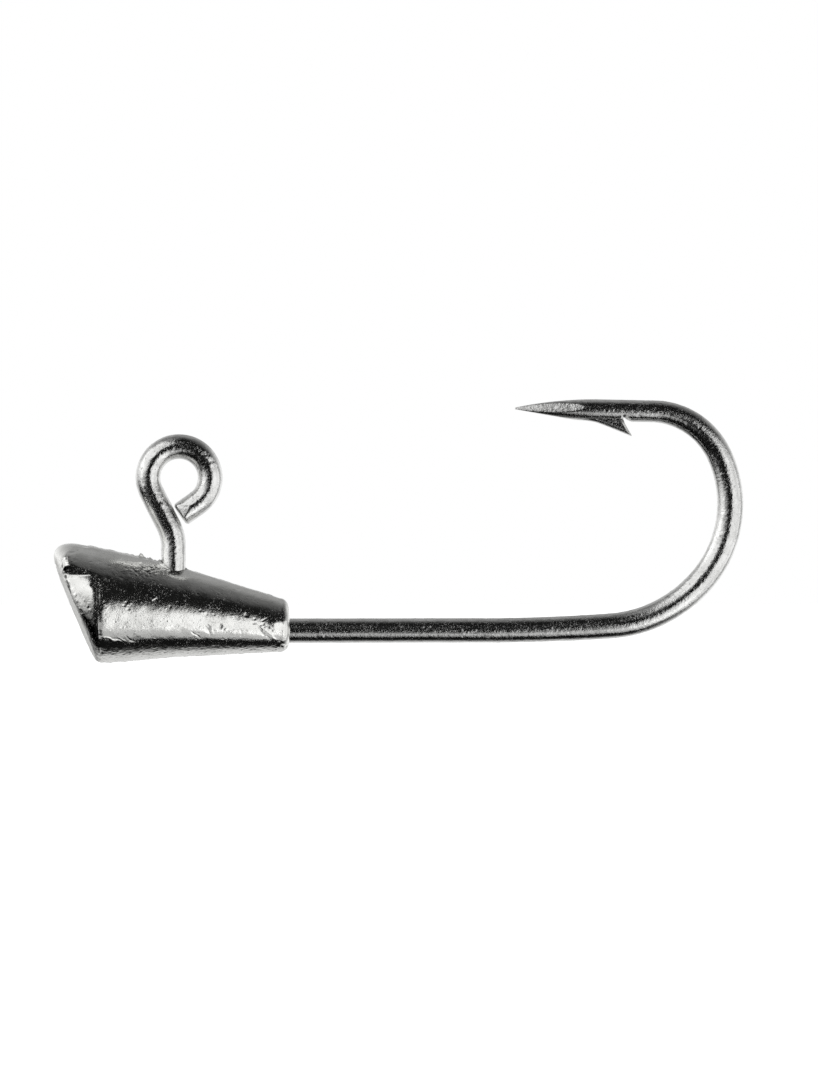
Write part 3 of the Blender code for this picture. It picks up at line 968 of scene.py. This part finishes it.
def cast_lead():
    """Bare lead with dark pits, dull specks, painted dark shade in the furrow, round the leg's foot and
    between the crumbs, and a rough nose face.
    """
    mat, shader, t, where = new_material("cast_lead")
    clouds = t.patches(where, size=0.9 * MM, low=0.35, high=0.70, detail=4.0)
    pits = t.patches(where, size=0.09 * MM, low=0.63, high=0.70, rough=0.65)
    painted_shade = t.add("ShaderNodeAttribute", {"attribute_name": "painted_shade"}).outputs["Fac"]
    colour = t.mix(pits, t.mix(clouds, LEAD_LIGHT, LEAD_DARK), LEAD_PIT)
    # painted shade: the lead's colour is darkened to near-black where the painted shade mask is set
    colour = t.mix(painted_shade, colour, LEAD_PAINTED_SHADE)
    dull = t.patches(where, size=0.070 * MM, low=0.53, high=0.67, rough=0.6)
    fields = t.patches(where, size=0.8 * MM, low=0.40, high=0.60, detail=2.0, to_low=0.3)
    face = NOSE_POINT.x * NOSE_COS + NOSE_POINT.z * NOSE_SIN
    from_origin = t.measure("DOT_PRODUCT", where, (NOSE_COS, 0.0, NOSE_SIN))
    coarse = t.ramp(from_origin, *(face + depth for depth in LEAD_COARSE_DEPTH))
    dull = t.math("MAXIMUM", t.math("MULTIPLY", dull, fields), coarse)
    grain = t.noise(where, size=0.10 * MM, detail=3.0, rough=0.6)
    fine = t.noise(where, size=0.045 * MM, detail=3.0)
    normal = t.bump(fine, LEAD_FINE_BUMP, Normal=t.bump(grain, LEAD_GRAIN_BUMP))
    t.put(shader.inputs["Base Color"], colour)
    t.put(shader.inputs["Roughness"], t.ramp(dull, 0.0, 1.0, *LEAD_ROUGHNESS))
    t.put(shader.inputs["Normal"], normal)
    return mat


# ================================================================ studio

YAW = -6.0                      # degrees, the camera stands a little towards the nose
LENS = 200.0                    # millimetres, as is the sensor
SENSOR = 36.0
FRAME_TALL = 52.9 * MM          # what the frame shows, top to bottom, at the hook's plane
AIM = Vector((11.28 * MM, 0.0, -3.04 * MM))
CLIP_START = 0.005
CLIP_END = 20.0
FLOOR_DROP = 30.0 * MM
FLOOR_HALF = 3.0
FLOOR_WHITE = 0.9
FLOOR_ROUGHNESS = 0.9
FLOOR_GLOW = 0.9

SOFTBOX_DISTANCE = 0.5
# name, azimuth, elevation, width and height in degrees, radiance
SOFTBOXES = (
    ("right", 56.0, -11.0, 80.0, 72.0, 0.60),
    ("right_core", 38.0, -10.0, 44.0, 54.0, 0.34),
    ("right_low", 32.0, -45.0, 32.0, 33.0, 0.48),
    ("left", -54.0, 34.0, 76.0, 54.0, 0.54),
    ("left_wide", -62.0, 28.0, 100.0, 76.0, 0.32),
)
# azimuth, elevation, radius of the core and of the edge in degrees, level; below 0 it darkens
GLOWS = (
    (108.0, -10.0, 20.0, 62.0, 0.42),
    (118.0, 45.0, 10.0, 50.0, 0.16),
    (-130.0, 20.0, 22.0, 58.0, 0.40),
    (-86.0, 12.0, 12.0, 36.0, 0.36),
    (-64.0, -2.0, 8.0, 26.0, 0.50),
    (5.0, -34.0, 4.0, 16.0, 0.44),
    (180.0, 74.0, 8.0, 28.0, 0.13),
    (-58.0, 66.0, 6.0, 24.0, 0.34),
    (-14.0, 30.0, 4.0, 16.0, 0.18),
    (-120.0, -35.0, 15.0, 50.0, -0.28),
)
WALL_LEVEL = 0.008              # of the dim walls
BEHIND = (0.14, 0.74)           # a direction's Y, from the dim walls to the full pale one behind
BEHIND_HEIGHT = (0.60, 0.0)     # a direction's Z, from high on that wall to its foot
BEHIND_LEVEL = (0.27, 0.78)     # and its level there


def make_camera():
    data = bpy.data.cameras.new("camera")
    data.lens = LENS
    data.sensor_width = SENSOR
    data.clip_start = CLIP_START
    data.clip_end = CLIP_END
    camera = bpy.data.objects.new("camera", data)
    bpy.context.scene.collection.objects.link(camera)
    turn = math.radians(YAW)
    back = Vector((math.sin(turn), -math.cos(turn), 0.0))
    camera.location = AIM + back * (FRAME_TALL * LENS / SENSOR)
    camera.rotation_euler = (-back).to_track_quat("-Z", "Y").to_euler()
    bpy.context.scene.camera = camera


def direction(azimuth, elevation):
    """A unit vector: azimuth 0 is towards the camera's side, 90 is +X; elevation is upwards."""
    a, e = math.radians(azimuth), math.radians(elevation)
    return Vector((math.sin(a) * math.cos(e), -math.cos(a) * math.cos(e), math.sin(e)))


def softbox(name, azimuth, elevation, wide, tall, radiance):
    """An oval light of the given angular size and brightness, facing the object."""
    data = bpy.data.lights.new(name, "AREA")
    data.shape = "ELLIPSE"
    data.size = 2 * SOFTBOX_DISTANCE * math.tan(math.radians(wide / 2))
    data.size_y = 2 * SOFTBOX_DISTANCE * math.tan(math.radians(tall / 2))
    data.energy = radiance * math.pi * data.size * data.size_y
    light = bpy.data.objects.new(name, data)
    bpy.context.scene.collection.objects.link(light)
    out = direction(azimuth, elevation)
    light.location = out * SOFTBOX_DISTANCE
    light.rotation_euler = out.to_track_quat("Z", "Y").to_euler()
    light.visible_camera = False


def glow(t, where, azimuth, elevation, core, edge, level):
    """A soft round patch of the surroundings, its size given in degrees from its middle."""
    towards = t.measure("DOT_PRODUCT", where, direction(azimuth, elevation))
    near, far = math.cos(math.radians(core)), math.cos(math.radians(edge))
    return t.ramp(towards, far, near, 0.0, level)


def make_world():
    """A white studio whose walls are dim in front of the part and pale behind it."""
    world = bpy.data.worlds.new("studio")
    bpy.context.scene.world = world
    world.use_nodes = True
    world.node_tree.nodes.clear()
    t = Tree(world.node_tree)
    where = t.add("ShaderNodeTexCoord").outputs["Generated"]
    axes = t.add("ShaderNodeSeparateXYZ", Vector=where)
    behind = t.ramp(axes.outputs["Y"], *BEHIND)
    height = t.ramp(axes.outputs["Z"], *BEHIND_HEIGHT, *BEHIND_LEVEL)
    level = t.math("MULTIPLY", behind, height)
    for place in GLOWS:
        level = t.math("ADD", level, glow(t, where, *place))
    level = t.math("ADD", level, WALL_LEVEL)
    seen = t.add("ShaderNodeLightPath").outputs["Is Camera Ray"]
    shown = t.math("MAXIMUM", level, seen)
    background = t.add("ShaderNodeBackground", Color=(1, 1, 1, 1), Strength=shown)
    t.add("ShaderNodeOutputWorld", Surface=background.outputs[0])


def make_floor():
    """A wide pale floor well below the part, which hangs by its eye."""
    z = cad_box[0].z - FLOOR_DROP
    mesh = bpy.data.meshes.new("floor")
    corners = [(x * FLOOR_HALF, y * FLOOR_HALF, z) for x, y in ((-1, -1), (1, -1), (1, 1), (-1, 1))]
    mesh.from_pydata(corners, [], [(0, 1, 2, 3)])
    floor = add_object("floor", mesh)
    mat = bpy.data.materials.new("floor")
    mat.use_nodes = True
    shader = mat.node_tree.nodes["Principled BSDF"]
    shader.inputs["Base Color"].default_value = (FLOOR_WHITE, FLOOR_WHITE, FLOOR_WHITE, 1)
    shader.inputs["Roughness"].default_value = FLOOR_ROUGHNESS
    shader.inputs["Emission Color"].default_value = (1, 1, 1, 1)
    shader.inputs["Emission Strength"].default_value = FLOOR_GLOW
    mesh.materials.append(mat)
    floor.visible_glossy = False


def make_studio():
    make_world()
    make_floor()
    for box in SOFTBOXES:
        softbox(*box)
    bpy.context.scene.view_settings.view_transform = "Standard"


# ================================================================ put together

def main():
    make_camera()
    hook, tip = make_hook()
    hook.data.materials.clear()
    hook.data.materials.append(tinned_wire(tip))
    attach(hook, "root")
    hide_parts("jig_hook")
    head = make_head()
    head.data.materials.append(cast_lead())
    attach(head, "root")
    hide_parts("lead_head")
    make_studio()


main()
